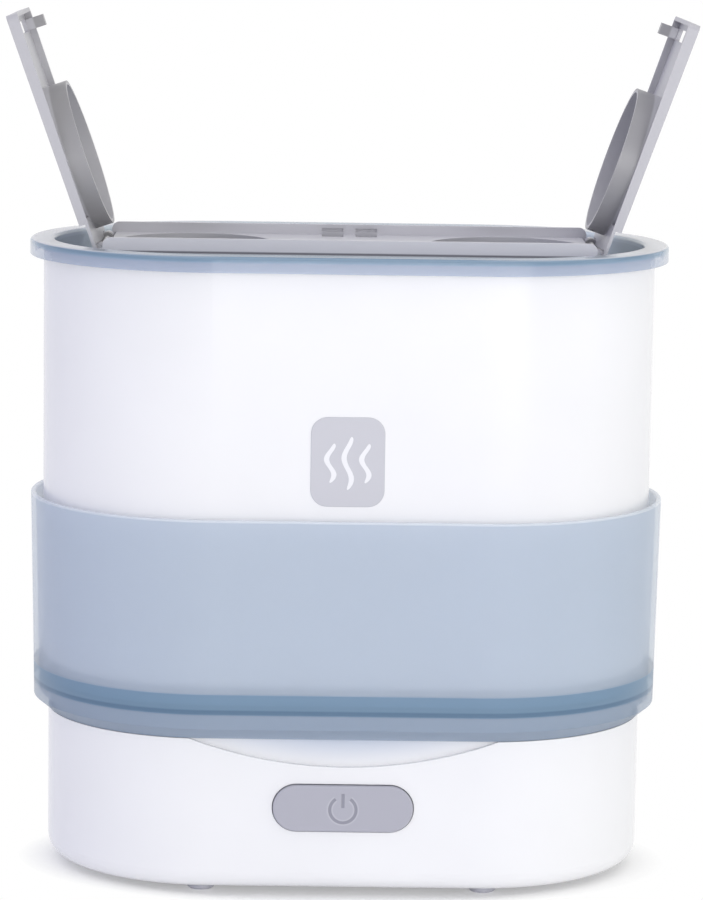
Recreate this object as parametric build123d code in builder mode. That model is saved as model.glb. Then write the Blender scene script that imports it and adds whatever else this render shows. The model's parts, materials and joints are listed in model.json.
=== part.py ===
from build123d import *
from math import cos, radians, sin
import os

# Baby bottle warmer and steriliser with an oval plan, in millimetres.
# Z is up, the front with the button faces -Y, and z = 0 is the underside of the feet.
# Every wall follows one oval: two half circles whose centres lie end_spacing apart.
end_spacing = 117.0
fit_gap = 0.3
slide_gap = 0.4

# Feet, bottom cover and base housing
foot_height = 4.0
foot_radius = 6.0
foot_x = 62.0
foot_inset = 5.5
base_height = 67.0
base_wall = 2.6
base_round = 8.0
cover_thickness = 2.5
deck_thickness = 2.6
deck_drop = 2.4
neck_height = 12.0
screw_x = 84.0
screw_y = 36.0
screw_radius = 1.5
screw_length = 16.0
screw_head = 1.2
cooling_slots = 9
cooling_slot_pitch = 9.0
cooling_slot_length = 26.0
cooling_slot_width = 3.4
boss_radius = 4.2

# Finger scoop in the front of the base, under the cup's hem
scoop_depth = 12.0
scoop_half_width = 67.0

# Heater in the middle of the base's deck
heater_radius = 50.0
heater_dish_depth = 3.0
heater_sheet = 1.5
seal_width = 4.0
seal_thickness = 1.6
element_radius = 34.0
element_wire = 4.0
element_gap = 40.0
element_terminal = 14.0
thermostat_radius = 9.0
thermostat_height = 12.0
tab_length = 7.0
tab_width = 6.0
tab_thickness = 1.0

# Power button on the front and its switch board
button_length = 61.8
button_width = 21.4
button_room = 1.1
button_proud = 1.6
button_travel = 1.2
button_edge_round = 0.8
button_flange = 2.0
board_length = 86.0
board_width = 22.0
board_thickness = 1.6
board_rib = 2.4
board_rib_reach = 3.0
switch_body = 6.0
switch_body_height = 3.5
switch_stem_radius = 1.7
switch_stem = 1.0

# Mains inlet at the back
inlet_width = 24.0
inlet_tall = 15.0
inlet_height = 24.0
inlet_depth = 20.0
inlet_wall = 2.2
inlet_flange = 2.5
inlet_lip = 1.2
inlet_corner = 3.0
blade_radius = 1.2
blade_spacing = 8.6
blade_length = 14.0

# Translucent cup that stands on the base and holds the chamber
cup_top = 168.3
cup_room = 1.8
cup_flare = 1.5
cup_overhang = 6.5
cup_wall = 2.2
hem_rise = 5.4
cup_floor_thickness = 4.0
cup_floor_ledge = 5.5

# White steam chamber
chamber_radius = 77.0
chamber_wall = 2.4
chamber_lift = 5.0
chamber_round = 5.0
chamber_top = 279.0
foot_ring_inset = 2.0
foot_ring_wall = 2.5
steam_hole_radius = 4.0
steam_hole_pitch = 26.0
steam_hole_columns = 7
steam_hole_rows = 3

# Bottle rack that stands on the chamber's floor
rack_gap = 2.6
rack_rise = 14.0
rack_thickness = 2.4
rack_foot_radius = 4.0
rack_foot_y = 48.0
cradle_height = 16.0
cradle_wall = 2.0
rack_slot_length = 34.0
rack_slot_width = 6.0
rack_side_slots = 4
rack_middle_slots = 3

# Translucent top tray, whose rim laps over the chamber's edge
rim_room = 3.8
rim_drop = 7.0
tray_wall = 2.2
recess_depth = 13.8
rim_round = 1.6

# Grey lid frame in the tray's recess
frame_wall_reach = 2.0
frame_wall_round = 3.4
frame_width = 76.8
frame_wall = 2.3
frame_rise = 3.2
frame_corner = 3.0
frame_deck_drop = 4.5
frame_deck = 2.2
frame_flange = 4.0
frame_skirt = 5.0
well_side_margin = 2.5
well_end_margin = 6.4
catch_x = 7.6
catch_width = 9.6
catch_height = 1.5
catch_from_top = 1.7

# Hinges at the two ends of the lid frame
pivot_inset = 22.1
pivot_drop = 2.5
pivot_gap = 0.6
pin_radius = 1.2
pin_gap = 0.05
lug_radius = 2.4
lug_width = 4.0
lug_y = 27.0
knuckle_width = 5.0
knuckle_gap = 0.4

# Lid leaves, which stand open past upright by open_lean degrees
open_lean = 19.0
leaf_gap = 0.6
leaf_tail = 4.2
leaf_plate = 1.8
leaf_tab = 1.4
leaf_edge_hinge = 3.8
leaf_edge_tip = 5.0
leaf_corner = 3.0
leaf_wall_start = 12.5
collar_clearance = 0.6
collar_wall = 1.8
collar_drop = 8.0
collar_sink = 0.1
hook_width = 5.0
hook_drop = 5.0
hook_thickness = 6.0
vent_width = 5.5
vent_length = 30.0
vent_gap = 0.8

# Sizes and places that follow from the ones above
cup_radius_low = chamber_radius + cup_room + cup_wall
cup_radius_top = cup_radius_low + cup_flare
base_radius = cup_radius_low - cup_overhang
foot_y = base_radius - base_round - foot_radius - foot_inset
base_bottom = foot_height
base_top = base_bottom + base_height
neck_inset = cup_wall + fit_gap
neck_radius = base_radius - neck_inset
neck_top = base_top + neck_height
deck_top = neck_top - neck_height + deck_drop - deck_thickness
deck_under = deck_top - deck_thickness
upper_cavity_radius = neck_radius - cup_wall
hem_bottom = base_top + fit_gap
cup_floor_top = neck_top + cup_floor_thickness
chamber_bottom = cup_floor_top + chamber_lift
chamber_floor_top = chamber_bottom + chamber_wall
chamber_inner = chamber_radius - chamber_wall
foot_ring_radius = chamber_radius - chamber_round - foot_ring_inset
cup_floor_opening = foot_ring_radius - foot_ring_wall - cup_floor_ledge
rack_radius = chamber_inner - rack_gap
rim_radius = chamber_radius + rim_room + tray_wall
rim_top = chamber_top + fit_gap + tray_wall
tray_outer = chamber_inner - fit_gap
tray_inner = tray_outer - tray_wall
tray_floor_top = rim_top - recess_depth
frame_top = rim_top + frame_rise
frame_deck_top = frame_top - frame_deck_drop
pivot_x = end_spacing / 2 + tray_inner - pivot_inset
pivot_z = rim_top - pivot_drop
frame_half_length = pivot_x - lug_radius - pivot_gap
well_radius = frame_width / 2 - frame_wall - well_side_margin
well_from_pivot = well_radius + well_end_margin
well_x = pivot_x - well_from_pivot
leaf_plane = frame_deck_top + fit_gap - pivot_z
leaf_half_width = frame_width / 2 - frame_wall - leaf_gap
leaf_length = pivot_x - leaf_gap / 2
collar_radius = well_radius - collar_clearance
hook_x = pivot_x - catch_x
knuckle_y = lug_y - (lug_width + knuckle_width) / 2 - knuckle_gap
lower_cavity_top = base_top - scoop_depth - 2 * base_wall
button_height = lower_cavity_top - (button_width + button_flange) / 2 - button_room
button_back = base_radius - base_wall - fit_gap - button_flange
board_front = button_back - button_travel - fit_gap - switch_stem - switch_body_height


def oval(radius):
    SlotCenterToCenter(end_spacing, 2 * radius)


def oval_face(radius, height):
    with BuildSketch(Plane.XY.offset(height)) as plan:
        oval(radius)
    return plan.sketch


def oval_block(radius, low, high, mode=Mode.ADD):
    extrude(oval_face(radius, low), amount=high - low, mode=mode)


def oval_loft(sections, mode=Mode.ADD):
    loft([oval_face(radius, height) for radius, height in sections], ruled=True, mode=mode)


# Four soft feet under the bottom cover, each with a plug that fills its hole in the cover
def make_feet():
    for name, x, y in (
        ("foot_front_left", -foot_x, -foot_y),
        ("foot_front_right", foot_x, -foot_y),
        ("foot_rear_left", -foot_x, foot_y),
        ("foot_rear_right", foot_x, foot_y),
    ):
        with BuildPart() as foot:
            with BuildSketch(Plane.XY):
                with Locations((x, y)):
                    Circle(foot_radius)
            extrude(amount=foot_height)
            chamfer(foot.faces().sort_by(Axis.Z)[0].edges(), foot_height / 5)
            with BuildSketch(Plane.XY.offset(foot_height)):
                with Locations((x, y)):
                    Circle(foot_radius / 2 - fit_gap)
            extrude(amount=cover_thickness)
        foot.part.label = name
        export_step(foot.part, "parts/" + name + ".step")


# Flat cover that closes the base from below, screwed to the posts of the housing
def make_bottom_cover():
    with BuildPart() as cover:
        oval_block(base_radius - base_round - fit_gap, base_bottom, base_bottom + cover_thickness)
        under = Plane.XY.offset(base_bottom)
        with BuildSketch(under):
            with GridLocations(2 * foot_x, 2 * foot_y, 2, 2):
                Circle(foot_radius / 2)
        extrude(amount=cover_thickness, mode=Mode.SUBTRACT)
        with BuildSketch(under):
            with GridLocations(2 * screw_x, 2 * screw_y, 2, 2):
                Circle(screw_radius + slide_gap)
        extrude(amount=cover_thickness, mode=Mode.SUBTRACT)
        with BuildSketch(under):
            with GridLocations(cooling_slot_pitch, 1, cooling_slots, 1):
                SlotOverall(cooling_slot_length, cooling_slot_width, rotation=90)
        extrude(amount=cover_thickness, mode=Mode.SUBTRACT)
    cover.part.label = "bottom_cover"
    export_step(cover.part, "parts/bottom_cover.step")


# Four screws, from the underside of the cover up into the posts
def make_base_screws():
    with BuildPart() as screws:
        with BuildSketch(Plane.XY.offset(base_bottom - screw_head)):
            with GridLocations(2 * screw_x, 2 * screw_y, 2, 2):
                Circle(2 * screw_radius)
        extrude(amount=screw_head)
        with BuildSketch(Plane.XY.offset(base_bottom)):
            with GridLocations(2 * screw_x, 2 * screw_y, 2, 2):
                Circle(screw_radius)
        extrude(amount=screw_length)
    screws.part.label = "base_screws"
    export_step(screws.part, "parts/base_screws.step")


# White base housing: rounded oval shell with a neck, a sunken deck and four screw posts
def make_base_shell():
    with BuildPart() as shell:
        oval_block(base_radius, base_bottom, base_top)
        fillet(shell.faces().sort_by(Axis.Z)[0].edges(), base_round)
        oval_block(neck_radius, base_top, neck_top)
        cover_radius = base_radius - base_round
        oval_block(cover_radius, base_bottom, base_bottom + base_round, Mode.SUBTRACT)
        cavity_low = base_bottom + base_round
        oval_block(base_radius - base_wall, cavity_low, lower_cavity_top, Mode.SUBTRACT)
        oval_block(upper_cavity_radius, lower_cavity_top, deck_under, Mode.SUBTRACT)
        oval_block(upper_cavity_radius, deck_top, neck_top, Mode.SUBTRACT)
        # The scoop bares the neck below the cup's hem, so that fingers can lift the cup
        with BuildSketch(Plane.XZ.offset(neck_radius)):
            with BuildLine():
                ThreePointArc(
                    (-scoop_half_width, base_top),
                    (0, base_top - scoop_depth),
                    (scoop_half_width, base_top),
                )
                Line((scoop_half_width, base_top), (-scoop_half_width, base_top))
            make_face()
        extrude(amount=2 * neck_inset, mode=Mode.SUBTRACT)
        # Posts for the screws, hanging from the deck
        post_low = base_bottom + cover_thickness
        for x in (-screw_x, screw_x):
            for y in (-screw_y, screw_y):
                with BuildSketch(Plane.XY.offset(post_low)):
                    with Locations((x, y)):
                        Circle(boss_radius)
                extrude(amount=deck_under - post_low)
                with BuildSketch(Plane.XY.offset(post_low)):
                    with Locations((x, y)):
                        Circle(screw_radius)
                extrude(amount=screw_length, mode=Mode.SUBTRACT)
        # Two ribs inside the front wall that hold the ends of the control board
        for side in (-1, 1):
            rib_x = side * (board_length + board_rib) / 2 + side * fit_gap
            rib_back = board_front - board_thickness - board_rib_reach
            with BuildSketch(Plane.XZ.offset(rib_back)):
                with Locations((rib_x, button_height)):
                    Rectangle(board_rib, board_width)
            extrude(amount=base_radius - base_wall / 2 - rib_back)
        # Opening for the heater plate
        with BuildSketch(Plane.XY.offset(deck_under)):
            Circle(heater_radius - seal_width)
        extrude(amount=deck_thickness, mode=Mode.SUBTRACT)
        # Opening for the button in the front and for the inlet in the back
        with BuildSketch(Plane.XZ.offset(base_radius)):
            with Locations((0, button_height)):
                SlotOverall(button_length, button_width)
        extrude(amount=-2 * base_wall, mode=Mode.SUBTRACT)
        with BuildSketch(Plane.XZ.offset(-base_radius)):
            with Locations((0, inlet_height)):
                RectangleRounded(inlet_width + fit_gap, inlet_tall + fit_gap, inlet_corner)
        extrude(amount=2 * base_wall, mode=Mode.SUBTRACT)
    shell.part.label = "base_shell"
    export_step(shell.part, "parts/base_shell.step")


# Pressed steel heater plate with a shallow dish for the water
def make_heater_plate():
    rim = deck_top + seal_thickness
    with BuildPart() as plate:
        with BuildSketch(Plane.XZ):
            with BuildLine():
                dish = heater_radius - 2 * seal_width
                low = rim - heater_dish_depth
                Polyline(
                    (0, low), (dish - heater_dish_depth, low), (dish, rim), (heater_radius, rim),
                    (heater_radius, rim + heater_sheet), (dish - heater_sheet / 2, rim + heater_sheet),
                    (dish - heater_dish_depth - heater_sheet / 2, low + heater_sheet),
                    (0, low + heater_sheet), close=True,
                )
            make_face()
        revolve(axis=Axis.Z)
    plate.part.label = "heater_plate"
    export_step(plate.part, "parts/heater_plate.step")


# Silicone ring between the heater plate's flange and the deck
def make_heater_seal():
    with BuildPart() as seal:
        with BuildSketch(Plane.XY.offset(deck_top)):
            Circle(heater_radius)
            Circle(heater_radius - seal_width, mode=Mode.SUBTRACT)
        extrude(amount=seal_thickness)
    seal.part.label = "heater_seal"
    export_step(seal.part, "parts/heater_seal.step")


# Flat-sided heating element under the plate, an open ring with two terminals that point down
def make_heating_element():
    top = deck_top + seal_thickness - heater_dish_depth
    height = top - element_wire / 2
    with BuildPart() as element:
        with BuildLine() as path:
            CenterArc((0, 0, height), element_radius, element_gap / 2, 360 - element_gap)
        with BuildSketch(path.line ^ 0):
            Rectangle(element_wire, element_wire)
        sweep()
        for angle in (element_gap / 2, -element_gap / 2):
            x = element_radius * cos(radians(angle))
            y = element_radius * sin(radians(angle))
            with BuildSketch(Plane.XY.offset(height - element_terminal)):
                with Locations((x, y)):
                    Circle(element_wire / 2)
            extrude(amount=element_terminal)
    element.part.label = "heating_element"
    export_step(element.part, "parts/heating_element.step")


# Thermostat pressed against the middle of the heater plate, with two flat tabs
def make_thermostat():
    top = deck_top + seal_thickness - heater_dish_depth
    with BuildPart() as thermostat:
        with BuildSketch(Plane.XY.offset(top - thermostat_height)):
            Circle(thermostat_radius)
        extrude(amount=thermostat_height)
        with BuildSketch(Plane.XY.offset(top - thermostat_height - tab_length)):
            with GridLocations(thermostat_radius, 1, 2, 1):
                Rectangle(tab_thickness, tab_width)
        extrude(amount=tab_length)
    thermostat.part.label = "thermostat"
    export_step(thermostat.part, "parts/thermostat.step")


# Control board on edge behind the button, with its push switch
def make_control_board():
    with BuildPart() as board:
        with BuildSketch(Plane.XZ.offset(board_front - board_thickness)):
            with Locations((0, button_height)):
                Rectangle(board_length, board_width)
        extrude(amount=board_thickness)
    board.part.label = "control_board"
    export_step(board.part, "parts/control_board.step")
    with BuildPart() as switch:
        with BuildSketch(Plane.XZ.offset(board_front)):
            with Locations((0, button_height)):
                Rectangle(switch_body, switch_body)
        extrude(amount=switch_body_height)
        with BuildSketch(Plane.XZ.offset(board_front + switch_body_height)):
            with Locations((0, button_height)):
                Circle(switch_stem_radius)
        extrude(amount=switch_stem)
    switch.part.label = "push_switch"
    export_step(switch.part, "parts/push_switch.step")


# Grey power button: a pill that stands proud of the front, with a flange behind the wall
def make_power_button():
    front = base_radius + button_proud
    with BuildPart() as button:
        with BuildSketch(Plane.XZ.offset(front)):
            with Locations((0, button_height)):
                SlotOverall(button_length - 2 * slide_gap, button_width - 2 * slide_gap)
        extrude(amount=button_back - front)
        fillet(button.faces().sort_by(Axis.Y)[0].edges(), button_edge_round)
        with BuildSketch(Plane.XZ.offset(button_back)):
            with Locations((0, button_height)):
                SlotOverall(button_length + button_flange, button_width + button_flange)
        extrude(amount=button_flange)
    button.part.label = "power_button"
    export_step(button.part, "parts/power_button.step")


# Two-pin mains inlet at the back, a flanged box with the two contact pins inside
def make_power_inlet():
    outside = Plane.XZ.offset(-base_radius - inlet_lip)
    with BuildPart() as inlet:
        with BuildSketch(outside):
            with Locations((0, inlet_height)):
                RectangleRounded(inlet_width, inlet_tall, inlet_corner)
        extrude(amount=inlet_lip + inlet_depth)
        with BuildSketch(outside):
            with Locations((0, inlet_height)):
                flange = 2 * inlet_flange
                RectangleRounded(inlet_width + flange, inlet_tall + flange, inlet_corner + inlet_flange)
        extrude(amount=inlet_lip)
        with BuildSketch(outside):
            with Locations((0, inlet_height)):
                SlotOverall(inlet_width - 2 * inlet_wall, inlet_tall - 2 * inlet_wall)
        extrude(amount=inlet_lip + inlet_depth - inlet_wall, mode=Mode.SUBTRACT)
        with BuildSketch(Plane.XZ.offset(-base_radius + inlet_depth)):
            with Locations((0, inlet_height)):
                with GridLocations(blade_spacing, 1, 2, 1):
                    Circle(blade_radius)
        extrude(amount=-blade_length)
    inlet.part.label = "power_inlet"
    export_step(inlet.part, "parts/power_inlet.step")


# Translucent cup: tapered wall, sloping hem over the base and a floor ledge on the neck
def make_cup():
    hem_top = hem_bottom + hem_rise
    outer = ((base_radius, hem_bottom), (cup_radius_low, hem_top), (cup_radius_top, cup_top))
    hem_inner = neck_radius + fit_gap
    with BuildPart() as cup:
        oval_loft(outer[0:2])
        oval_loft(outer[1:3])
        inner = cup_radius_low - cup_wall
        oval_loft(((inner, cup_floor_top), (cup_radius_top - cup_wall, cup_top)), Mode.SUBTRACT)
        oval_block(cup_floor_opening, neck_top, cup_floor_top, Mode.SUBTRACT)
        oval_block(hem_inner, hem_bottom, hem_bottom + cup_wall, Mode.SUBTRACT)
        shelf = hem_bottom + cup_wall
        oval_loft(((hem_inner, shelf), (inner, hem_top + cup_wall)), Mode.SUBTRACT)
        oval_block(inner, hem_top + cup_wall, neck_top, Mode.SUBTRACT)
        fillet(cup.faces().sort_by(Axis.Z)[-1].edges(), cup_wall / 3)
    cup.part.label = "cup"
    export_step(cup.part, "parts/cup.step")


# White chamber: open-topped oval vessel with a perforated floor on a foot ring
def make_chamber():
    with BuildPart() as chamber:
        oval_block(chamber_radius, chamber_bottom, chamber_top)
        fillet(chamber.faces().sort_by(Axis.Z)[0].edges(), chamber_round)
        oval_block(chamber_inner, chamber_floor_top, chamber_top, Mode.SUBTRACT)
        with BuildSketch(Plane.XY.offset(cup_floor_top)):
            oval(foot_ring_radius)
            SlotCenterToCenter(end_spacing, 2 * (foot_ring_radius - foot_ring_wall), mode=Mode.SUBTRACT)
        extrude(amount=chamber_lift)
        with BuildSketch(Plane.XY.offset(chamber_bottom)):
            with GridLocations(steam_hole_pitch, steam_hole_pitch, steam_hole_columns, steam_hole_rows):
                Circle(steam_hole_radius)
        extrude(amount=chamber_wall, mode=Mode.SUBTRACT)
    chamber.part.label = "chamber"
    export_step(chamber.part, "parts/chamber.step")


# Bottle rack: slotted oval shelf on short feet, with an open cradle under each well
def make_bottle_rack():
    shelf = chamber_floor_top + rack_rise
    with BuildPart() as rack:
        oval_block(rack_radius, shelf, shelf + rack_thickness)
        with BuildSketch(Plane.XY.offset(shelf)):
            with GridLocations(2 * well_x, 2 * rack_slot_width, 2, rack_side_slots):
                SlotOverall(rack_slot_length, rack_slot_width)
            with GridLocations(2 * rack_slot_width, 1, rack_middle_slots, 1):
                SlotOverall(rack_slot_length * 2, rack_slot_width, rotation=90)
        extrude(amount=rack_thickness, mode=Mode.SUBTRACT)
        with BuildSketch(Plane.XY.offset(shelf + rack_thickness)):
            with GridLocations(2 * well_x, 1, 2, 1):
                Circle(well_radius + cradle_wall)
                Circle(well_radius, mode=Mode.SUBTRACT)
                Rectangle(well_radius, 3 * well_radius, mode=Mode.SUBTRACT)
        extrude(amount=cradle_height)
        with BuildSketch(Plane.XY.offset(chamber_floor_top)):
            with GridLocations(2 * well_x, 2 * rack_foot_y, 2, 2):
                Circle(rack_foot_radius)
        extrude(amount=rack_rise)
    rack.part.label = "bottle_rack"
    export_step(rack.part, "parts/bottle_rack.step")


# Translucent top tray: a rim that laps over the chamber and a sunken floor for the lid frame
def make_top_tray():
    with BuildPart() as tray:
        oval_block(rim_radius, rim_top - rim_drop, rim_top)
        oval_block(rim_radius - tray_wall, rim_top - rim_drop, rim_top - tray_wall, Mode.SUBTRACT)
        oval_block(tray_outer, tray_floor_top - tray_wall, rim_top - tray_wall)
        oval_block(tray_inner, tray_floor_top, rim_top, Mode.SUBTRACT)
        with BuildSketch(Plane.XY.offset(tray_floor_top - tray_wall)):
            opening_length = 2 * (frame_half_length + fit_gap)
            RectangleRounded(opening_length, frame_width + 2 * fit_gap, frame_corner + fit_gap)
        extrude(amount=tray_wall, mode=Mode.SUBTRACT)
        fillet(tray.faces().sort_by(Axis.Z)[-1].edges(), rim_round)
    tray.part.label = "top_tray"
    export_step(tray.part, "parts/top_tray.step")


# Grey lid frame: long box with open ends above the deck, two round wells and hinge lugs
def make_lid_frame():
    deck_low = frame_deck_top - frame_deck
    inner_length = 2 * (frame_half_length - frame_wall)
    inner_width = frame_width - 2 * frame_wall
    skirt_low = tray_floor_top - tray_wall - frame_skirt
    with BuildPart() as frame:
        with BuildSketch(Plane.XY.offset(skirt_low)):
            RectangleRounded(2 * frame_half_length, frame_width, frame_corner)
        extrude(amount=frame_top - skirt_low)
        # The two long walls run on past the ends, where their top corners are rounded
        wall_length = 2 * (frame_half_length + frame_wall_reach)
        wall_low = tray_floor_top + frame_deck
        with BuildSketch(Plane.XY.offset(wall_low)):
            with GridLocations(1, frame_width - frame_wall, 1, 2):
                Rectangle(wall_length, frame_wall)
        extrude(amount=frame_top - wall_low)
        with BuildSketch(Plane.XZ.offset(-frame_width)):
            with Locations((0, skirt_low)):
                RectangleRounded(wall_length, 2 * (frame_top - skirt_low), frame_wall_round)
        extrude(amount=2 * frame_width, mode=Mode.INTERSECT)
        with BuildSketch(Plane.XY.offset(frame_deck_top)):
            Rectangle(3 * frame_half_length, inner_width)
        extrude(amount=frame_deck_drop, mode=Mode.SUBTRACT)
        with BuildSketch(Plane.XY.offset(skirt_low)):
            RectangleRounded(inner_length, inner_width, frame_corner / 2)
        extrude(amount=deck_low - skirt_low, mode=Mode.SUBTRACT)
        # Flange that rests on the tray's floor, outside the wall
        with BuildSketch(Plane.XY.offset(tray_floor_top)):
            flange = 2 * frame_flange
            outer_corner = frame_corner + frame_flange
            RectangleRounded(2 * frame_half_length + flange, frame_width + flange, outer_corner)
            RectangleRounded(inner_length, inner_width, frame_corner / 2, mode=Mode.SUBTRACT)
        extrude(amount=frame_deck)
        # Wells that the leaves' collars plug
        with BuildSketch(Plane.XY.offset(deck_low)):
            with GridLocations(2 * well_x, 1, 2, 1):
                Circle(well_radius)
        extrude(amount=frame_deck, mode=Mode.SUBTRACT)
        # Catch windows in the far wall, and notches in the deck where the hooks go through
        with BuildSketch(Plane.XZ.offset(-inner_width / 2)):
            with Locations((0, frame_top - catch_from_top - catch_height / 2)):
                with GridLocations(2 * catch_x, 1, 2, 1):
                    Rectangle(catch_width, catch_height)
        extrude(amount=-frame_wall / 2, mode=Mode.SUBTRACT)
        with BuildSketch(Plane.XY.offset(deck_low)):
            notch = hook_thickness + 2 * frame_wall
            with Locations((0, (inner_width - notch) / 2)):
                with GridLocations(2 * catch_x, 1, 2, 1):
                    Rectangle(catch_width, notch)
        extrude(amount=frame_deck, mode=Mode.SUBTRACT)
        # Hinge lugs at both ends
        for side in (-1, 1):
            for y in (-lug_y, lug_y):
                with BuildSketch(Plane.XZ.offset(-y - lug_width / 2)):
                    with Locations((side * pivot_x, pivot_z)):
                        Circle(lug_radius)
                    arm = pivot_x - frame_half_length + frame_wall
                    with Locations((side * (pivot_x - arm / 2), pivot_z - lug_radius / 2)):
                        Rectangle(arm, lug_radius)
                extrude(amount=lug_width)
                with BuildSketch(Plane.XZ.offset(-y - lug_width / 2)):
                    with Locations((side * pivot_x, pivot_z)):
                        Circle(pin_radius + pin_gap)
                extrude(amount=lug_width, mode=Mode.SUBTRACT)
    frame.part.label = "lid_frame"
    export_step(frame.part, "parts/lid_frame.step")


# Steel hinge pin of one leaf
def make_hinge_pin(side, name):
    length = 2 * (lug_y + lug_width / 2)
    with BuildPart() as pin:
        with BuildSketch(Plane.XZ.offset(-length / 2)):
            with Locations((side * pivot_x, pivot_z)):
                Circle(pin_radius)
        extrude(amount=length)
    pin.part.label = name
    export_step(pin.part, "parts/" + name + ".step")


# Lid leaf in its open position: a tray-like plate, a round collar that plugs the well, a hook
# and two knuckles. Along its plane x runs from the pivot to the tip and z is its outer side.
def make_leaf(side, name):
    lean = radians(open_lean)
    hinge = Plane(
        origin=(side * pivot_x, 0, pivot_z),
        x_dir=(side * sin(lean), 0, cos(lean)),
        z_dir=(side * cos(lean), 0, -sin(lean)),
    )
    far = -side
    profile_plane = Plane(origin=hinge.origin, x_dir=hinge.x_dir, z_dir=-hinge.y_dir)
    half = leaf_half_width
    outer_hinge = leaf_plane + leaf_edge_hinge
    outer_tip = leaf_plane + leaf_edge_tip
    slope = (outer_tip - outer_hinge) / (leaf_length + leaf_tail)
    ceiling = outer_hinge + slope * leaf_tail - leaf_plate
    with BuildPart() as leaf:
        # Wedge with rounded corners, thicker towards the tip
        with BuildSketch(profile_plane.offset(-half)):
            with BuildLine():
                Polyline(
                    (-leaf_tail, leaf_plane), (leaf_length, leaf_plane), (leaf_length, outer_tip),
                    (-leaf_tail, outer_hinge), close=True,
                )
            make_face()
        extrude(amount=2 * half)
        middle = (leaf_length - leaf_tail) / 2
        with BuildSketch(hinge.offset(leaf_plane)):
            with Locations((middle, 0)):
                RectangleRounded(leaf_length + leaf_tail, 2 * half, leaf_corner)
        extrude(amount=leaf_edge_tip, mode=Mode.INTERSECT)
        # Hollow underside, which leaves the plate and its edge walls
        with BuildSketch(profile_plane.offset(-half + leaf_plate)):
            with BuildLine():
                start = leaf_wall_start + leaf_plate
                end = leaf_length - leaf_plate
                Polyline(
                    (start, leaf_plane), (end, leaf_plane), (end, ceiling + slope * end),
                    (start, ceiling + slope * start), close=True,
                )
            make_face()
        extrude(amount=2 * (half - leaf_plate), mode=Mode.SUBTRACT)
        # Collar that plugs the well, from inside the plate down past the edge walls
        with BuildSketch(hinge.offset(leaf_plane - collar_drop)):
            with Locations((well_from_pivot, 0)):
                Circle(collar_radius)
                Circle(collar_radius - collar_wall, mode=Mode.SUBTRACT)
        collar_top = ceiling + slope * (well_from_pivot + collar_radius) + collar_sink
        extrude(amount=collar_drop + collar_top - leaf_plane)
        # Near the pivot the leaf steps down to a thin tab
        with BuildSketch(profile_plane.offset(-half)):
            with BuildLine():
                Polyline(
                    (-leaf_tail, leaf_plane + leaf_tab), (leaf_wall_start, leaf_plane + leaf_tab),
                    (leaf_wall_start, outer_tip), (-leaf_tail, outer_tip), close=True,
                )
            make_face()
        extrude(amount=2 * half, mode=Mode.SUBTRACT)
        # Slots in the tab that the frame's lugs pass through
        tab_slot_end = lug_radius + knuckle_gap
        with BuildSketch(hinge.offset(leaf_plane)):
            with Locations(((tab_slot_end - leaf_tail) / 2, 0)):
                with GridLocations(1, 2 * lug_y, 1, 2):
                    Rectangle(tab_slot_end + leaf_tail, lug_width + 2 * knuckle_gap)
        extrude(amount=leaf_tab, mode=Mode.SUBTRACT)
        # Hook on the far edge wall, which goes through the deck when the leaf is shut
        with BuildSketch(hinge.offset(leaf_plane - hook_drop)):
            with Locations((hook_x, far * (half - hook_thickness / 2))):
                Rectangle(hook_width, hook_thickness)
        extrude(amount=hook_drop + ceiling + slope * hook_x - leaf_plane)
        # Vent slot in the plate, from the hook towards the near side
        vent_y = half - hook_thickness - vent_gap - vent_length / 2
        with BuildSketch(hinge.offset(leaf_plane)):
            with Locations((hook_x, far * vent_y)):
                Rectangle(vent_width, vent_length)
        extrude(amount=leaf_edge_tip, mode=Mode.SUBTRACT)
        # Knuckles that turn on the hinge pin
        for y in (-knuckle_y, knuckle_y):
            with BuildSketch(profile_plane.offset(y - knuckle_width / 2)):
                Circle(lug_radius)
                with Locations((0, (leaf_plane + leaf_tab) / 2)):
                    Rectangle(2 * lug_radius, leaf_plane + leaf_tab)
            extrude(amount=knuckle_width)
            with BuildSketch(profile_plane.offset(y - knuckle_width / 2)):
                Circle(pin_radius + pin_gap)
            extrude(amount=knuckle_width, mode=Mode.SUBTRACT)
    leaf.part.label = name
    export_step(leaf.part, "parts/" + name + ".step")


os.makedirs("parts", exist_ok=True)
make_feet()
make_bottom_cover()
make_base_screws()
make_base_shell()
make_heater_plate()
make_heater_seal()
make_heating_element()
make_thermostat()
make_control_board()
make_power_button()
make_power_inlet()
make_cup()
make_chamber()
make_bottle_rack()
make_top_tray()
make_lid_frame()
make_hinge_pin(-1, "hinge_pin_left")
make_hinge_pin(1, "hinge_pin_right")
make_leaf(-1, "leaf_left")
make_leaf(1, "leaf_right")
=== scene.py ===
import json
import math
import bmesh
import bpy
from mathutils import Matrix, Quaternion, Vector


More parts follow.
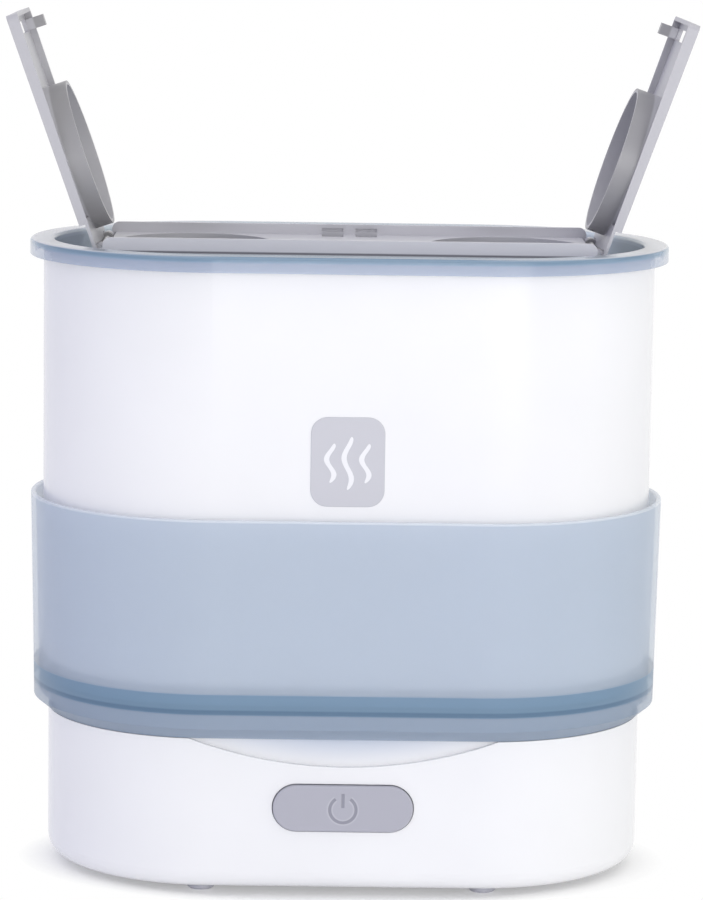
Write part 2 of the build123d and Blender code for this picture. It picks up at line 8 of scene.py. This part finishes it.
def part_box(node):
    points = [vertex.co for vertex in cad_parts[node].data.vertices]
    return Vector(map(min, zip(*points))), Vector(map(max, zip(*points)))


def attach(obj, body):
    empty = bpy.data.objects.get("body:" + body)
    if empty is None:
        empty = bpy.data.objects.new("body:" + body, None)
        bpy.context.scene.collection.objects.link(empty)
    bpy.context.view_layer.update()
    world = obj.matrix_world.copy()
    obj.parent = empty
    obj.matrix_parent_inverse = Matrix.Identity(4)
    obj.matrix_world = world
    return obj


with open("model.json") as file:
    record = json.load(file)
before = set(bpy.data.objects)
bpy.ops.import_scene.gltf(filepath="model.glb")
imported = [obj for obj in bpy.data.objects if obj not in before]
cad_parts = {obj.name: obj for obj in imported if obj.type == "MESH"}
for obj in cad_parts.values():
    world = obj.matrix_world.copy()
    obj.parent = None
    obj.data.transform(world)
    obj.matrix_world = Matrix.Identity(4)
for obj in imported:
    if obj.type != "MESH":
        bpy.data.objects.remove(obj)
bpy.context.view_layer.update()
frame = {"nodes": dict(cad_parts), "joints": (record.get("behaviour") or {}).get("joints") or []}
nodes = frame["nodes"]


# Base housing: one glossy white moulding with a neck on top for the cup and a shallow finger scoop
# in its front. The mould's polish leaves a very faint ripple in the gloss. The scoop's colour has a
# painted bluish shade, standing in for the shade under the cup's hem.
class Link:
    """An output of a shader's node; an expression on it adds Math nodes"""

    def __init__(self, tree, socket=None):
        self.tree = tree
        self.socket = socket

    def node(self, kind, settings=None, inputs=None, output=0):
        """Adds a node with its settings, then its inputs' values or links, and gives one output"""
        made = self.tree.nodes.new(kind)
        for name, value in (settings or {}).items():
            setattr(made, name, value)
        for name, value in (inputs or {}).items():
            if isinstance(value, Link):
                self.tree.links.new(value.socket, made.inputs[name])
            else:
                made.inputs[name].default_value = value
        return Link(self.tree, made.outputs[output])

    def math(self, operation, *values):
        return self.node("ShaderNodeMath", {"operation": operation}, dict(enumerate(values)))

    def __add__(self, other):
        return self.math("ADD", self, other)

    def __sub__(self, other):
        return self.math("SUBTRACT", self, other)

    def __rsub__(self, other):
        return self.math("SUBTRACT", other, self)

    def __mul__(self, other):
        return self.math("MULTIPLY", self, other)

    __radd__ = __add__
    __rmul__ = __mul__

    def __abs__(self):
        return self.math("ABSOLUTE", self)

    def at_least(self, other):
        return self.math("MAXIMUM", self, other)

    def at_most(self, other):
        return self.math("MINIMUM", self, other)

    def step(self, low, high):
        """0 below low, 1 above high, a ramp between"""
        settings = {"clamp": True}
        places = {"From Min": low, "From Max": high, "To Min": 0.0, "To Max": 1.0}
        return self.node("ShaderNodeMapRange", settings, {"Value": self, **places})

    def between(self, low, high):
        """This value as the mix of two colours, given as three numbers or as links"""
        ends = {}
        for place, shade in ((6, low), (7, high)):
            ends[place] = shade if isinstance(shade, Link) else (*shade, 1.0)
        return self.node("ShaderNodeMix", {"data_type": "RGBA"}, {0: self, **ends}, 2)


def open_material(name):
    """A new material, its shader and the place on the surface that its patterns follow"""
    material = bpy.data.materials.new(name)
    material.use_nodes = True
    tree = material.node_tree
    place = Link(tree).node("ShaderNodeTexCoord", output="Object")
    return material, tree.nodes["Principled BSDF"], place


def feed(shader, **values):
    """Sets or links the shader's sockets; underscores stand for the spaces in their names"""
    for name, value in values.items():
        socket = shader.inputs[name.replace("_", " ")]
        if isinstance(value, Link):
            value.tree.links.new(value.socket, socket)
        else:
            socket.default_value = value


def noise(place, scale, detail=2.0):
    return place.node("ShaderNodeTexNoise", {}, {"Vector": place, "Scale": scale, "Detail": detail})


def bump(height, distance):
    return height.node("ShaderNodeBump", {}, {"Height": height, "Distance": distance})


def moulding(name, shade, roughness, ripple, grain, grain_scale=1400.0):
    """Moulded plastic: a slow ripple of the polish, a fine grain and slightly uneven gloss"""
    material, shader, place = open_material(name)
    cloud = noise(place, 9.0, 3.0)
    worn = noise(place, 45.0, 4.0)
    darker = tuple(part * 0.955 for part in shade)
    height = noise(place, 30.0) * ripple + noise(place, grain_scale) * grain
    feed(
        shader,
        Base_Color=cloud.step(0.3, 0.7).between(darker, shade),
        Roughness=worn * 0.10 + (roughness - 0.05),
        Normal=bump(height, 1.0),
    )
    return material


def reopen(material, *names):
    """A finished material's shader and place, and what feeds the named sockets of the shader"""
    tree = material.node_tree
    shader = tree.nodes["Principled BSDF"]
    place = Link(tree, tree.nodes["Texture Coordinate"].outputs["Object"])
    feeds = [Link(tree, shader.inputs[name].links[0].from_socket) for name in names]
    return shader, place, *feeds


def coordinates(place):
    """The x, y and z of a place"""
    parts = place.node("ShaderNodeSeparateXYZ", {}, {0: place})
    return [Link(parts.tree, output) for output in parts.socket.node.outputs]


def distance(across, along):
    """The distance from an axis, by the two coordinates square to it"""
    squares = across * across + along * along
    return squares.math("SQRT", squares)


def dress(material, *names):
    for name in names:
        nodes[name].data.materials.clear()
        nodes[name].data.materials.append(material)


white = (0.865, 0.865, 0.872)
neck_height = 0.012
scoop_half_width = 0.067
scoop_depth = 0.012
scoop_painted_shade = (0.56, 0.61, 0.70)
low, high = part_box("base_shell")
shoulder = high.z - neck_height
scoop_radius = (scoop_half_width ** 2 + scoop_depth ** 2) / (2 * scoop_depth)
scoop_middle = shoulder - scoop_depth + scoop_radius
base_white = moulding("base_white", white, roughness=0.20, ripple=0.00003, grain=0.0000015)
shader, place, colour = reopen(base_white, "Base Color")
x, y, z = coordinates(place)
# Painted shade: the finger scoop's face is drawn darker and bluer, for the shade under the cup's hem
sunk = y - low.y
sloping = sunk.step(0.0008, 0.0016) * (1 - sunk.step(0.0034, 0.0044))
inside = 1 - distance(x, z - scoop_middle).step(scoop_radius - 0.0115, scoop_radius - 0.0010)
below_neck = 1 - z.step(shoulder - 0.0002, shoulder + 0.0004)
feed(shader, Base_Color=(sloping * inside * below_neck).between(colour, scoop_painted_shade))
dress(base_white, "base_shell")


# Bottom cover: a flat matt white moulding, held to the base's posts by four plated screws, with four
# soft rubber feet plugged into it. Each screw's cross recess is painted shadow: two thin black strips
# on its head.
white_matt = moulding(
    "white_matt", (0.80, 0.80, 0.83), roughness=0.52, ripple=0.00002, grain=0.00001, grain_scale=900.0,
)
dress(white_matt, "bottom_cover")
rubber = moulding(
    "foot_rubber", (0.60, 0.60, 0.66), roughness=0.62, ripple=0.00004, grain=0.00003, grain_scale=700.0,
)
dress(rubber, "foot_front_left", "foot_front_right", "foot_rear_left", "foot_rear_right")


def steel(name, shade, roughness, lines, scale):
    """Ground or brushed steel: fine marks, drawn out in the direction whose line scale is small"""
    material, shader, place = open_material(name)
    stretch = place.node("ShaderNodeMapping", {}, {"Vector": place, "Scale": lines})
    brushed = noise(stretch, scale, 3.0)
    darker = tuple(part * 0.8 for part in shade)
    feed(
        shader,
        Base_Color=brushed.between(darker, shade),
        Metallic=1.0,
        Roughness=brushed * 0.16 + (roughness - 0.08),
        Normal=bump(brushed, 0.00002),
    )
    return material


def add_piece(name, shape, material):
    """Turns a finished bmesh into an object of the scene"""
    mesh = bpy.data.meshes.new(name)
    shape.to_mesh(mesh)
    shape.free()
    mesh.materials.append(material)
    piece = bpy.data.objects.new(name, mesh)
    bpy.context.scene.collection.objects.link(piece)
    return piece


plated = steel("plated_steel", (0.62, 0.62, 0.64), roughness=0.32, lines=(1.0, 1.0, 1.0), scale=700.0)
dress(plated, "base_screws")
low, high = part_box("base_screws")
head_radius = 0.003
recess_length = 0.0034
recess_width = 0.0008
# Painted shadow: black strips stand in for the shade inside each screw's cross recess
recess_painted_shadow = moulding("recess_shadow", (0.03, 0.03, 0.03), roughness=0.6, ripple=0.0, grain=0.00002)
for side in (-1, 1):
    for row in (-1, 1):
        recess = bmesh.new()
        for width, depth in ((recess_length, recess_width), (recess_width, recess_length)):
            corners = [(-width, depth), (width, depth), (width, -depth), (-width, -depth)]
            recess.faces.new([recess.verts.new((right / 2, back / 2, 0.0)) for right, back in corners])
        cross = add_piece("screw_recess_shadow_%d_%d" % (side, row), recess, recess_painted_shadow)
        cross.location = (side * (high.x - head_radius), row * (high.y - head_radius), low.z - 0.00005)
        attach(cross, "base")


# Heater: a spun stainless dish on a silicone ring in the base's deck, with a tube element and a
# thermostat can under it. The dish is brushed in rings, and scale from hard water dulls it in patches.
material, shader, place = open_material("heater_dish")
from_middle = place.node("ShaderNodeVectorMath", {"operation": "LENGTH"}, {0: place}, 1)
ring_inputs = {"W": from_middle, "Scale": 2200.0}
rings = from_middle.node("ShaderNodeTexNoise", {"noise_dimensions": "1D"}, ring_inputs)
limescale = noise(place, 60.0, 5.0).step(0.45, 0.62)
feed(
    shader,
    Base_Color=limescale.between((0.60, 0.60, 0.61), (0.50, 0.49, 0.47)),
    Metallic=1.0,
    Roughness=rings * 0.15 + limescale * 0.18 + 0.18,
    Normal=bump(rings, 0.00002),
)
dress(material, "heater_plate")
silicone = moulding("seal_silicone", (0.62, 0.62, 0.60), roughness=0.55, ripple=0.0, grain=0.00002)
dress(silicone, "heater_seal")
tube = steel("element_tube", (0.58, 0.58, 0.60), roughness=0.38, lines=(1.0, 1.0, 1.0), scale=900.0)
dress(tube, "heating_element")
can = steel("thermostat_can", (0.52, 0.52, 0.54), roughness=0.36, lines=(1.0, 1.0, 0.1), scale=900.0)
dress(can, "thermostat")


# Control board: green lacquer over copper tracks, held on edge behind the button by ribs of the
# housing. The push switch on its face is a small black moulding.
material, shader, place = open_material("board_lacquer")
upright = place.node("ShaderNodeMapping", {}, {"Vector": place, "Rotation": (math.pi / 2, 0, 0)})
track_inputs = {"Vector": upright, "Scale": 90.0, "Mortar Size": 0.06, "Mortar Smooth": 0.4}
tracks = upright.node("ShaderNodeTexBrick", {"offset": 0.37}, track_inputs, 1)
feed(
    shader,
    Base_Color=tracks.between((0.015, 0.11, 0.04), (0.05, 0.22, 0.08)),
    Roughness=0.34,
    Normal=bump(tracks, 0.00005),
)
dress(material, "control_board")
black = (0.028, 0.028, 0.032)
black_moulding = moulding("black_moulding", black, roughness=0.42, ripple=0.00002, grain=0.00001)
dress(black_moulding, "push_switch")


# Power button: a pill of soft grey plastic that slides in the base's front. The plain power sign, a
# broken ring with a bar, is pressed a little into its face; a painted highlight runs round the ring.
material, shader, place = open_material("button_grey")
low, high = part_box("power_button")
sign_height = (low.z + high.z) / 2 - 0.0004
ring_radius = 0.0057
stroke = 0.0007
bar_middle = 0.0040
bar_half = 0.0031
button_grey = (0.41, 0.41, 0.465)
ring_highlight_grey = (0.49, 0.49, 0.54)
sign_grey = (0.27, 0.27, 0.32)
x, y, z = coordinates(place)
z = z - sign_height
aside = abs(x)
on_face = 1 - y.step(low.y + 0.0002, low.y + 0.0004)
off_ring = abs(distance(x, z) - ring_radius)
unbroken = 1 - (z - aside * 1.5).step(-0.0002, 0.0002)
ring = (1 - off_ring.step(stroke * 0.8, stroke * 1.2)) * unbroken
off_bar = (aside - stroke * 0.95).at_least(abs(z - bar_middle) - bar_half)
bar = 1 - off_bar.step(-0.0001, 0.0001)
sign = ring.at_least(bar) * on_face
# Painted highlight: a lighter band round the pressed ring, standing in for light on its edge
edge = (1 - off_ring.step(stroke * 1.3, stroke * 2.2)) * unbroken * on_face
feed(
    shader,
    Base_Color=sign.between(edge.between(button_grey, ring_highlight_grey), sign_grey),
    Roughness=noise(place, 60.0) * 0.1 + 0.36,
    Normal=bump(noise(place, 1300.0) * 0.05 - sign, 0.0001),
)
dress(material, "power_button")


# Mains inlet: a black moulded socket with two nickel pins standing in it, set in the back of the
# base. The pins are part of the same node, so the metal is where a point is near to their axes.
material, shader, place = open_material("inlet_black")
low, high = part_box("power_inlet")
pin_spacing = 0.0086
pin_radius = 0.0012
nickel = (0.66, 0.64, 0.60)
x, y, z = coordinates(place)
from_axis = distance(abs(x) - pin_spacing / 2, z - (low.z + high.z) / 2)
pin = 1 - from_axis.step(pin_radius + 0.00005, pin_radius + 0.0001)
feed(
    shader,
    Base_Color=pin.between(black, nickel),
    Metallic=pin,
    Roughness=0.42 - pin * 0.18,
    Normal=bump(noise(place, 1300.0), 0.00001),
)
dress(material, "power_inlet")


# Cup: a tub of frosted, see-through blue plastic that stands on the base's neck. Its wall lets part
# of what is behind it show. Its hem is painted darker as shade, the band above its floor is thick and
# deeper in colour with painted shade on it, a painted shadow line runs where it sits on the neck, and
# its brim has a painted highlight line.
def frosted_blue(name, shade, alpha, roughness, layers):
    """See-through moulding; each layer is a span of heights with a colour and an extra cover"""
    material, shader, place = open_material(name)
    cloud = noise(place, 8.0, 2.0).step(0.2, 0.8)
    darker = tuple(part * 0.965 for part in shade)
    colour = cloud.between(darker, shade)
    cover = cloud * 0.012 + (alpha - 0.006)
    height = coordinates(place)[2]
    for low, high, soft, deep, more in layers:
        mask = height.step(low - soft, low + soft) * (1 - height.step(high - soft, high + soft))
        colour = mask.between(colour, deep)
        cover = cover + mask * more
    feed(
        shader,
        Base_Color=colour,
        Roughness=noise(place, 30.0, 1.0) * 0.04 + (roughness - 0.02),
        Alpha=cover,
        Normal=bump(noise(place, 1500.0), 0.000004),
    )
    return material


neck_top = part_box("base_shell")[1].z
chamber_bottom = neck_top + 0.009
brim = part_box("cup")[1].z
# Painted light: shade on the hem, shade on the thick floor band, a shadow line at the seat and a
# highlight line along the brim
hem = (neck_top - 0.020, neck_top, 0.0002, (0.35, 0.44, 0.56), 0.10)
floor_band_and_shade = (neck_top, chamber_bottom, 0.0002, (0.20, 0.32, 0.45), 0.30)
seat_painted_shadow = (neck_top, neck_top + 0.0022, 0.0004, (0.11, 0.20, 0.31), 0.05)
brim_painted_highlight = (brim - 0.0009, brim + 0.001, 0.0003, (0.78, 0.83, 0.89), 0.06)
cup_layers = (hem, floor_band_and_shade, seat_painted_shadow, brim_painted_highlight)
cup_blue = frosted_blue("cup_blue", (0.57, 0.66, 0.775), alpha=0.45, roughness=0.33, layers=cup_layers)
dress(cup_blue, "cup")


# Chamber: the glossy white vessel that the bottles stand in, moulded in one piece. On its front sits
# a thin grey badge with rounded corners, printed with three rising lines of steam.
white_gloss = moulding("white_gloss", white, roughness=0.20, ripple=0.00003, grain=0.0000015)
dress(white_gloss, "chamber")
chamber_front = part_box("chamber")[0].y
badge_width = 0.0318
badge_tall = 0.0388
badge_corner = 0.0072
badge_edge_round = 0.0003
badge_proud = 0.00035
badge_height = 0.1935


def rounded_outline(width, tall, corner, steps=10):
    """The points of an upright rectangle with rounded corners, round its middle"""
    points = []
    for turn, (right, up) in enumerate(((1, 1), (-1, 1), (-1, -1), (1, -1))):
        for step in range(steps + 1):
            angle = math.pi / 2 * (turn + step / steps)
            aside = right * (width / 2 - corner) + corner * math.cos(angle)
            points.append((aside, up * (tall / 2 - corner) + corner * math.sin(angle)))
    return points


plate = bmesh.new()
loops = []
for inset, depth in ((0.0, 0.0), (0.0, badge_proud * 0.6), (badge_edge_round, badge_proud)):
    outline = rounded_outline(badge_width - 2 * inset, badge_tall - 2 * inset, badge_corner - inset)
    front = chamber_front - depth
    loops.append([plate.verts.new((aside, front, badge_height + up)) for aside, up in outline])
for back, fore in zip(loops, loops[1:]):
    for index in range(len(back)):
        following = (index + 1) % len(back)
        plate.faces.new((back[index], back[following], fore[following], fore[index]))
plate.faces.new(loops[-1])
bmesh.ops.recalc_face_normals(plate, faces=plate.faces)
badge_grey = moulding("badge_grey", (0.56, 0.56, 0.60), roughness=0.34, ripple=0.00001, grain=0.000004)
badge = add_piece("badge", plate, badge_grey)
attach(badge, "chamber_body")

steam_lines = ((-0.0075, -0.009, 0.017), (0.0, -0.012, 0.023), (0.0075, -0.009, 0.017))
steam_waves = 1.25
steam_swing = 0.0016
steam_half_width = 0.00115
steam_front = chamber_front - badge_proud - 0.00006
steam_steps = 40
steam_white = moulding("steam_print", (0.84, 0.84, 0.86), roughness=0.35, ripple=0.0, grain=0.000004)
for index, (offset, start, length) in enumerate(steam_lines):
    ribbon = bmesh.new()
    rows = []
    for step in range(steam_steps + 1):
        along = step / steam_steps
        middle = offset + steam_swing * math.sin(2 * math.pi * along * steam_waves)
        half = steam_half_width * math.sqrt(max(0.02, 1 - (2 * along - 1) ** 6))
        height = badge_height + start + length * along
        rows.append([ribbon.verts.new((middle + end * half, steam_front, height)) for end in (-1, 1)])
    for below, above in zip(rows, rows[1:]):
        ribbon.faces.new((below[0], below[1], above[1], above[0]))
    steam = add_piece("steam_line_%d" % index, ribbon, steam_white)
    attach(steam, "chamber_body")


# Bottle rack: one slotted moulding of slightly matt white plastic. It stands on the chamber's floor
# on four short feet and keeps the bottles out of the water.
rack_white = moulding("rack_white", (0.80, 0.80, 0.83), roughness=0.40, ripple=0.00002, grain=0.000006)
dress(rack_white, "bottle_rack")


# Top tray: the same see-through blue plastic as the cup, but more polished, with a rim that laps
# over the chamber's edge. The rim is deeper in colour than the rest, apart from its ends, where a
# painted reflection lightens its top; the recess inside it is painted paler, as if more light reached
# it, and hides more.
end_spacing = 0.117
recess_reach = 0.0724
rim_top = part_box("top_tray")[1].z
rim = (rim_top - 0.0026, rim_top + 0.002, 0.0005, (0.22, 0.345, 0.475), 0.18)
tray_blue = frosted_blue("tray_blue", (0.39, 0.47, 0.615), alpha=0.46, roughness=0.14, layers=(rim,))
shader, place, colour, cover = reopen(tray_blue, "Base Color", "Alpha")
x, y, z = coordinates(place)
aside = abs(x)
past_end = (aside - end_spacing / 2).at_least(0.0)
# Painted light: the recess inside the rim is drawn paler, as if more light reached into it
recess = 1 - distance(past_end, y).step(recess_reach, recess_reach + 0.001)
# Painted reflection: the rim's top is drawn lighter towards its ends, for the white surroundings it
# reflects
painted_light_ends = z.step(rim_top - 0.0006, rim_top - 0.0002) * aside.step(0.05, 0.13) * (1 - recess)
colour = recess.between(colour, (0.74, 0.81, 0.86))
colour = painted_light_ends.between(colour, (0.78, 0.78, 0.81))
feed(shader, Base_Color=colour, Alpha=cover + painted_light_ends * 0.15 + recess * 0.40)
dress(tray_blue, "top_tray")


# Lid frame: a satin silver-grey moulding in the tray, with the ground steel pins of the two hinges in
# its lugs. A fine painted shadow line runs along its long walls, a little lower than the tray's rim,
# where the walls meet the tray.
satin_grey = moulding("satin_grey", (0.58, 0.575, 0.61), roughness=0.34, ripple=0.00002, grain=0.000004)
shader, place, colour = reopen(satin_grey, "Base Color")
x, y, z = coordinates(place)
# Painted shadow: a fine dark line on the long walls where they meet the tray
gap_shadow = z.step(rim_top - 0.0036, rim_top - 0.0031) * (1 - z.step(rim_top - 0.0026, rim_top - 0.0021))
half_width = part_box("lid_frame")[1].y
on_wall = abs(y).step(half_width - 0.0060, half_width - 0.0055)
feed(shader, Base_Color=(gap_shadow * on_wall).between(colour, (0.15, 0.15, 0.17)))
dress(satin_grey, "lid_frame")
pin_steel = steel("pin_steel", (0.60, 0.60, 0.62), roughness=0.28, lines=(1.0, 0.05, 1.0), scale=900.0)
dress(pin_steel, "hinge_pin_left", "hinge_pin_right")


# Lid leaves: two mouldings of a darker satin grey that turn on the pins and stand open at rest. Each
# leaf's underside has painted shade: a little darker inside its collar, and darker still outside it, on
# the collar's outer face and the hook at its end.
lean = math.radians(19.0)
collar_along = 0.040
collar_radius = 0.0321
inside_painted_shade = (0.46, 0.455, 0.475)
outside_painted_shade = (0.31, 0.305, 0.315)
hinges = {joint["child"]: joint["pos_m"] for joint in frame["joints"] if "lid" in joint["name"]}
for side, name in ((-1, "leaf_left"), (1, "leaf_right")):
    grey = moulding(name + "_grey", (0.48, 0.475, 0.50), roughness=0.36, ripple=0.00002, grain=0.000004)
    shader, place, colour = reopen(grey, "Base Color")
    pivot = Vector(hinges[name + "_body"])
    outward = Vector((side * math.cos(lean), 0.0, -math.sin(lean)))
    upward = Vector((side * math.sin(lean), 0.0, math.cos(lean)))
    middle = pivot + upward * collar_along
    reach = place.node("ShaderNodeVectorMath", {"operation": "DOT_PRODUCT"}, {0: place, 1: outward}, 1)
    # Painted shade on the leaf's underside: lighter within the collar's ring, darker outside it, on the
    # collar's outer face and the hook
    underside = 1 - (reach - outward.dot(pivot)).step(0.0008, 0.0016)
    arm = place.node("ShaderNodeVectorMath", {"operation": "SUBTRACT"}, {0: place, 1: middle})
    square = arm.node("ShaderNodeVectorMath", {"operation": "CROSS_PRODUCT"}, {0: arm, 1: outward})
    radius = square.node("ShaderNodeVectorMath", {"operation": "LENGTH"}, {0: square}, 1)
    outside = radius.step(collar_radius - 0.0002, collar_radius + 0.0002)
    feed(shader, Base_Color=underside.between(colour, outside.between(inside_painted_shade, outside_painted_shade)))
    dress(grey, name)


# Studio: a white floor in even white light that is a little lavender from the left, with a broad low
# lamp in front, a fill lamp at the right and one above. The camera stands a little above the
# object's middle and is tipped by less than a degree.
def looked_at(start):
    """1 where the camera, a reflection or a view through a clear piece meets the surface, else 0"""
    rays = start.node("ShaderNodeLightPath").socket.node.outputs
    camera_ray = Link(start.tree, rays["Is Camera Ray"])
    others = Link(start.tree, rays["Is Glossy Ray"]) + Link(start.tree, rays["Is Transmission Ray"])
    return (camera_ray + others).at_most(1.0)


def plain(name, shade, glow_near, near, far):
    """Stage material: its own shade under the lamps, partly glowing near the object, white beyond"""
    material, shader, place = open_material(name)
    tree = material.node_tree
    feed(shader, Base_Color=(*shade, 1.0), Roughness=0.9)
    oval = place.node("ShaderNodeMapping", {}, {"Vector": place, "Scale": (0.60, 1.0, 1.0)})
    away = oval.node("ShaderNodeVectorMath", {"operation": "LENGTH"}, {0: oval}, 1)
    white_part = away.step(near, far) * (1 - glow_near) + glow_near
    glow = place.node("ShaderNodeEmission", {}, {"Color": (1, 1, 1, 1), "Strength": 1.0})
    body = Link(tree, shader.outputs[0])
    ends = {0: looked_at(place) * white_part, 1: body, 2: glow}
    mixed = place.node("ShaderNodeMixShader", {}, ends)
    tree.links.new(mixed.socket, tree.nodes["Material Output"].inputs["Surface"])
    return material


mesh = bpy.data.meshes.new("floor")
mesh.from_pydata([(-4, -4, 0), (4, -4, 0), (4, 4, 0), (-4, 4, 0)], [], [(0, 1, 2, 3)])
mesh.materials.append(plain("floor_white", (0.96, 0.96, 0.96), glow_near=0.30, near=0.076, far=0.088))
floor = bpy.data.objects.new("floor", mesh)
bpy.context.scene.collection.objects.link(floor)

world = bpy.data.worlds.new("studio")
bpy.context.scene.world = world
world.use_nodes = True
tree = world.node_tree
background = tree.nodes["Background"]
light_strength = 0.66
lavender = (1.14, 1.15, 1.46)
pure_white = (1.0, 1.0, 1.0)
direction = Link(tree).node("ShaderNodeTexCoord", output="Generated")
level = looked_at(direction)
strength = level * (1 - light_strength) + light_strength
light = coordinates(direction)[0].step(-0.7, 0.0).between(lavender, pure_white)
tree.links.new(strength.socket, background.inputs["Strength"])
tree.links.new(level.between(light, pure_white).socket, background.inputs["Color"])

for name, spot, aim, size, power in (
    ("key", (0.5, -2.2, 0.32), (0.0, 0.0, 0.12), 1.5, 19.2),
    ("fill", (1.9, -0.5, 0.6), (0.0, 0.0, 0.16), 1.0, 3.8),
    ("top", (0.2, -0.2, 1.9), (0.0, 0.0, 0.2), 1.2, 5.0),
):
    light = bpy.data.lights.new(name, "AREA")
    light.shape = "DISK"
    light.size = size
    light.energy = power
    lamp = bpy.data.objects.new(name, light)
    lamp.location = spot
    lamp.rotation_euler = (Vector(aim) - Vector(spot)).to_track_quat("-Z", "Y").to_euler()
    bpy.context.scene.collection.objects.link(lamp)

lens = bpy.data.cameras.new("camera")
lens.sensor_fit = "VERTICAL"
lens.sensor_height = 36.0
lens.lens = 152.8
lens.clip_end = 20.0
camera = bpy.data.objects.new("camera", lens)
camera.location = (-0.0112, -1.6904, 0.4454)
sight = Vector((0.0021, 0.0, 0.187)) - camera.location
tip = Quaternion((0, 0, 1), math.radians(0.83))
camera.rotation_mode = "QUATERNION"
camera.rotation_quaternion = sight.to_track_quat("-Z", "Y") @ tip
bpy.context.scene.collection.objects.link(camera)
bpy.context.scene.camera = camera
bpy.context.scene.view_settings.view_transform = "Standard"
